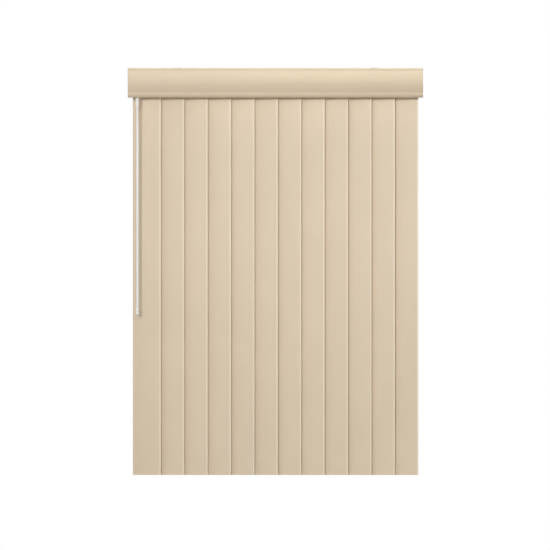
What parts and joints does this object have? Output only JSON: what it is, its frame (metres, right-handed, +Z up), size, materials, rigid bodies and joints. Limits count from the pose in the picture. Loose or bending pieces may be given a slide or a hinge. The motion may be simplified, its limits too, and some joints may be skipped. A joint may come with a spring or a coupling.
{
  "type": "vertical blind",
  "caption": "Vertical blind with curved vinyl vanes on geared carriers in a slotted head rail, a bowed valance in front, and a wand that draws the vanes across and tilts them.",
  "frame": {"origin": "middle of the bracket screw holes, on the mounting face at the top of the brackets", "axes": "+X along the rail to the right as seen from the room, +Y away from the room, +Z up, out of the mounting face"},
  "size_m": [0.92, 0.1167, 1.27],
  "materials": {
    "vane": "beige vinyl, satin",
    "valance": "beige vinyl, satin",
    "rail": "white powder coat",
    "rail_cap": "moulded, satin",
    "bracket": "zinc plated sheet",
    "rod": "extruded",
    "clip": "moulded, satin",
    "carrier": "moulded, satin",
    "gear": "moulded, satin",
    "hanger": "moulded, satin",
    "wand": "white, semi-gloss"
  },
  "bodies": {
    "head": {"headrail": "rail", "rail_end_caps": "rail_cap", "mounting_brackets": "bracket", "valance": "valance", "valance_ends": "valance", "valance_clips": "clip", "carrier_12": "carrier"},
    "rod": {"tilt_rod": "rod"},
    "carriage_01": {"carrier_01": "carrier"},
    "hanging_vane_01": {"stem_01": "hanger", "vane_01": "vane"},
    "worm_gear_01": {"worm_01": "gear"},
    "carriage_02": {"carrier_02": "carrier"},
    "hanging_vane_02": {"stem_02": "hanger", "vane_02": "vane"},
    "worm_gear_02": {"worm_02": "gear"},
    "carriage_03": {"carrier_03": "carrier"},
    "hanging_vane_03": {"stem_03": "hanger", "vane_03": "vane"},
    "worm_gear_03": {"worm_03": "gear"},
    "carriage_04": {"carrier_04": "carrier"},
    "hanging_vane_04": {"stem_04": "hanger", "vane_04": "vane"},
    "worm_gear_04": {"worm_04": "gear"},
    "carriage_05": {"carrier_05": "carrier"},
    "hanging_vane_05": {"stem_05": "hanger", "vane_05": "vane"},
    "worm_gear_05": {"worm_05": "gear"},
    "carriage_06": {"carrier_06": "carrier"},
    "hanging_vane_06": {"stem_06": "hanger", "vane_06": "vane"},
    "worm_gear_06": {"worm_06": "gear"},
    "carriage_07": {"carrier_07": "carrier"},
    "hanging_vane_07": {"stem_07": "hanger", "vane_07": "vane"},
    "worm_gear_07": {"worm_07": "gear"},
    "carriage_08": {"carrier_08": "carrier"},
    "hanging_vane_08": {"stem_08": "hanger", "vane_08": "vane"},
    "worm_gear_08": {"worm_08": "gear"},
    "carriage_09": {"carrier_09": "carrier"},
    "hanging_vane_09": {"stem_09": "hanger", "vane_09": "vane"},
    "worm_gear_09": {"worm_09": "gear"},
    "carriage_10": {"carrier_10": "carrier"},
    "hanging_vane_10": {"stem_10": "hanger", "vane_10": "vane"},
    "worm_gear_10": {"worm_10": "gear"},
    "carriage_11": {"carrier_11": "carrier"},
    "hanging_vane_11": {"stem_11": "hanger", "vane_11": "vane"},
    "worm_gear_11": {"worm_11": "gear"},
    "hanging_vane_12": {"stem_12": "hanger", "vane_12": "vane"},
    "worm_gear_12": {"worm_12": "gear"},
    "spindle": {"wand_spindle": "hanger"},
    "link": {"wand_link": "hanger"},
    "wand": {"wand_connector": "wand", "wand_rod": "wand", "wand_tip": "wand"}
  },
  "joints": [
    {"name": "rod_spin", "type": "hinge", "parent": "head", "child": "rod", "pos_m": [0, 0.0092, -0.01494], "axis": [-1, 0, 0], "range_deg": [0, 1440]},
    {"name": "traverse_01", "type": "slide", "parent": "head", "child": "carriage_01", "axis": [1, 0, 0], "range_m": [0, 0.605]},
    {"name": "tilt_01", "type": "hinge", "parent": "carriage_01", "child": "hanging_vane_01", "pos_m": [-0.4015, 0, -0.05], "axis": [0, 0, -1], "range_deg": [0, 160]},
    {"name": "worm_spin_01", "type": "hinge", "parent": "carriage_01", "child": "worm_gear_01", "pos_m": [-0.4015, 0.0092, -0.01494], "axis": [-1, 0, 0], "range_deg": [0, 1440]},
    {"name": "traverse_02", "type": "slide", "parent": "head", "child": "carriage_02", "axis": [1, 0, 0], "range_m": [0, 0.55]},
    {"name": "tilt_02", "type": "hinge", "parent": "carriage_02", "child": "hanging_vane_02", "pos_m": [-0.3285, 0, -0.05], "axis": [0, 0, -1], "range_deg": [0, 160]},
    {"name": "worm_spin_02", "type": "hinge", "parent": "carriage_02", "child": "worm_gear_02", "pos_m": [-0.3285, 0.0092, -0.01494], "axis": [-1, 0, 0], "range_deg": [0, 1440]},
    {"name": "traverse_03", "type": "slide", "parent": "head", "child": "carriage_03", "axis": [1, 0, 0], "range_m": [0, 0.495]},
    {"name": "tilt_03", "type": "hinge", "parent": "carriage_03", "child": "hanging_vane_03", "pos_m": [-0.2555, 0, -0.05], "axis": [0, 0, -1], "range_deg": [0, 160]},
    {"name": "worm_spin_03", "type": "hinge", "parent": "carriage_03", "child": "worm_gear_03", "pos_m": [-0.2555, 0.0092, -0.01494], "axis": [-1, 0, 0], "range_deg": [0, 1440]},
    {"name": "traverse_04", "type": "slide", "parent": "head", "child": "carriage_04", "axis": [1, 0, 0], "range_m": [0, 0.44]},
    {"name": "tilt_04", "type": "hinge", "parent": "carriage_04", "child": "hanging_vane_04", "pos_m": [-0.1825, 0, -0.05], "axis": [0, 0, -1], "range_deg": [0, 160]},
    {"name": "worm_spin_04", "type": "hinge", "parent": "carriage_04", "child": "worm_gear_04", "pos_m": [-0.1825, 0.0092, -0.01494], "axis": [-1, 0, 0], "range_deg": [0, 1440]},
    {"name": "traverse_05", "type": "slide", "parent": "head", "child": "carriage_05", "axis": [1, 0, 0], "range_m": [0, 0.385]},
    {"name": "tilt_05", "type": "hinge", "parent": "carriage_05", "child": "hanging_vane_05", "pos_m": [-0.1095, 0, -0.05], "axis": [0, 0, -1], "range_deg": [0, 160]},
    {"name": "worm_spin_05", "type": "hinge", "parent": "carriage_05", "child": "worm_gear_05", "pos_m": [-0.1095, 0.0092, -0.01494], "axis": [-1, 0, 0], "range_deg": [0, 1440]},
    {"name": "traverse_06", "type": "slide", "parent": "head", "child": "carriage_06", "axis": [1, 0, 0], "range_m": [0, 0.33]},
    {"name": "tilt_06", "type": "hinge", "parent": "carriage_06", "child": "hanging_vane_06", "pos_m": [-0.0365, 0, -0.05], "axis": [0, 0, -1], "range_deg": [0, 160]},
    {"name": "worm_spin_06", "type": "hinge", "parent": "carriage_06", "child": "worm_gear_06", "pos_m": [-0.0365, 0.0092, -0.01494], "axis": [-1, 0, 0], "range_deg": [0, 1440]},
    {"name": "traverse_07", "type": "slide", "parent": "head", "child": "carriage_07", "axis": [1, 0, 0], "range_m": [0, 0.275]},
    {"name": "tilt_07", "type": "hinge", "parent": "carriage_07", "child": "hanging_vane_07", "pos_m": [0.0365, 0, -0.05], "axis": [0, 0, -1], "range_deg": [0, 160]},
    {"name": "worm_spin_07", "type": "hinge", "parent": "carriage_07", "child": "worm_gear_07", "pos_m": [0.0365, 0.0092, -0.01494], "axis": [-1, 0, 0], "range_deg": [0, 1440]},
    {"name": "traverse_08", "type": "slide", "parent": "head", "child": "carriage_08", "axis": [1, 0, 0], "range_m": [0, 0.22]},
    {"name": "tilt_08", "type": "hinge", "parent": "carriage_08", "child": "hanging_vane_08", "pos_m": [0.1095, 0, -0.05], "axis": [0, 0, -1], "range_deg": [0, 160]},
    {"name": "worm_spin_08", "type": "hinge", "parent": "carriage_08", "child": "worm_gear_08", "pos_m": [0.1095, 0.0092, -0.01494], "axis": [-1, 0, 0], "range_deg": [0, 1440]},
    {"name": "traverse_09", "type": "slide", "parent": "head", "child": "carriage_09", "axis": [1, 0, 0], "range_m": [0, 0.165]},
    {"name": "tilt_09", "type": "hinge", "parent": "carriage_09", "child": "hanging_vane_09", "pos_m": [0.1825, 0, -0.05], "axis": [0, 0, -1], "range_deg": [0, 160]},
    {"name": "worm_spin_09", "type": "hinge", "parent": "carriage_09", "child": "worm_gear_09", "pos_m": [0.1825, 0.0092, -0.01494], "axis": [-1, 0, 0], "range_deg": [0, 1440]},
    {"name": "traverse_10", "type": "slide", "parent": "head", "child": "carriage_10", "axis": [1, 0, 0], "range_m": [0, 0.11]},
    {"name": "tilt_10", "type": "hinge", "parent": "carriage_10", "child": "hanging_vane_10", "pos_m": [0.2555, 0, -0.05], "axis": [0, 0, -1], "range_deg": [0, 160]},
    {"name": "worm_spin_10", "type": "hinge", "parent": "carriage_10", "child": "worm_gear_10", "pos_m": [0.2555, 0.0092, -0.01494], "axis": [-1, 0, 0], "range_deg": [0, 1440]},
    {"name": "traverse_11", "type": "slide", "parent": "head", "child": "carriage_11", "axis": [1, 0, 0], "range_m": [0, 0.055]},
    {"name": "tilt_11", "type": "hinge", "parent": "carriage_11", "child": "hanging_vane_11", "pos_m": [0.3285, 0, -0.05], "axis": [0, 0, -1], "range_deg": [0, 160]},
    {"name": "worm_spin_11", "type": "hinge", "parent": "carriage_11", "child": "worm_gear_11", "pos_m": [0.3285, 0.0092, -0.01494], "axis": [-1, 0, 0], "range_deg": [0, 1440]},
    {"name": "tilt_12", "type": "hinge", "parent": "head", "child": "hanging_vane_12", "pos_m": [0.4015, 0, -0.05], "axis": [0, 0, -1], "range_deg": [0, 160]},
    {"name": "worm_spin_12", "type": "hinge", "parent": "head", "child": "worm_gear_12", "pos_m": [0.4015, 0.0092, -0.01494], "axis": [-1, 0, 0], "range_deg": [0, 1440]},
    {"name": "wand_turn", "type": "hinge", "parent": "carriage_01", "child": "spindle", "pos_m": [-0.4305, -0.04285, -0.05], "axis": [0, 0, -1], "range_deg": [0, 1440]},
    {"name": "wand_swing", "type": "hinge", "parent": "spindle", "child": "link", "pos_m": [-0.4305, -0.04285, -0.078], "axis": [-1, 0, 0], "range_deg": [0, 20]},
    {"name": "wand_sway", "type": "hinge", "parent": "link", "child": "wand", "pos_m": [-0.4305, -0.04285, -0.086], "axis": [0, -1, 0], "range_deg": [-20, 20]}
  ],
  "couplings": [
    {"joint": "rod_spin", "follows": "tilt_01", "ratio": 9},
    {"joint": "worm_spin_01", "follows": "tilt_01", "ratio": 9},
    {"joint": "traverse_02", "follows": "traverse_01", "ratio": 0.90909},
    {"joint": "tilt_02", "follows": "tilt_01", "ratio": 1},
    {"joint": "worm_spin_02", "follows": "tilt_01", "ratio": 9},
    {"joint": "traverse_03", "follows": "traverse_01", "ratio": 0.81818},
    {"joint": "tilt_03", "follows": "tilt_01", "ratio": 1},
    {"joint": "worm_spin_03", "follows": "tilt_01", "ratio": 9},
    {"joint": "traverse_04", "follows": "traverse_01", "ratio": 0.72727},
    {"joint": "tilt_04", "follows": "tilt_01", "ratio": 1},
    {"joint": "worm_spin_04", "follows": "tilt_01", "ratio": 9},
    {"joint": "traverse_05", "follows": "traverse_01", "ratio": 0.63636},
    {"joint": "tilt_05", "follows": "tilt_01", "ratio": 1},
    {"joint": "worm_spin_05", "follows": "tilt_01", "ratio": 9},
    {"joint": "traverse_06", "follows": "traverse_01", "ratio": 0.54545},
    {"joint": "tilt_06", "follows": "tilt_01", "ratio": 1},
    {"joint": "worm_spin_06", "follows": "tilt_01", "ratio": 9},
    {"joint": "traverse_07", "follows": "traverse_01", "ratio": 0.45455},
    {"joint": "tilt_07", "follows": "tilt_01", "ratio": 1},
    {"joint": "worm_spin_07", "follows": "tilt_01", "ratio": 9},
    {"joint": "traverse_08", "follows": "traverse_01", "ratio": 0.36364},
    {"joint": "tilt_08", "follows": "tilt_01", "ratio": 1},
    {"joint": "worm_spin_08", "follows": "tilt_01", "ratio": 9},
    {"joint": "traverse_09", "follows": "traverse_01", "ratio": 0.27273},
    {"joint": "tilt_09", "follows": "tilt_01", "ratio": 1},
    {"joint": "worm_spin_09", "follows": "tilt_01", "ratio": 9},
    {"joint": "traverse_10", "follows": "traverse_01", "ratio": 0.18182},
    {"joint": "tilt_10", "follows": "tilt_01", "ratio": 1},
    {"joint": "worm_spin_10", "follows": "tilt_01", "ratio": 9},
    {"joint": "traverse_11", "follows": "traverse_01", "ratio": 0.090909},
    {"joint": "tilt_11", "follows": "tilt_01", "ratio": 1},
    {"joint": "worm_spin_11", "follows": "tilt_01", "ratio": 9},
    {"joint": "tilt_12", "follows": "tilt_01", "ratio": 1},
    {"joint": "worm_spin_12", "follows": "tilt_01", "ratio": 9},
    {"joint": "wand_turn", "follows": "tilt_01", "ratio": 9}
  ]
}
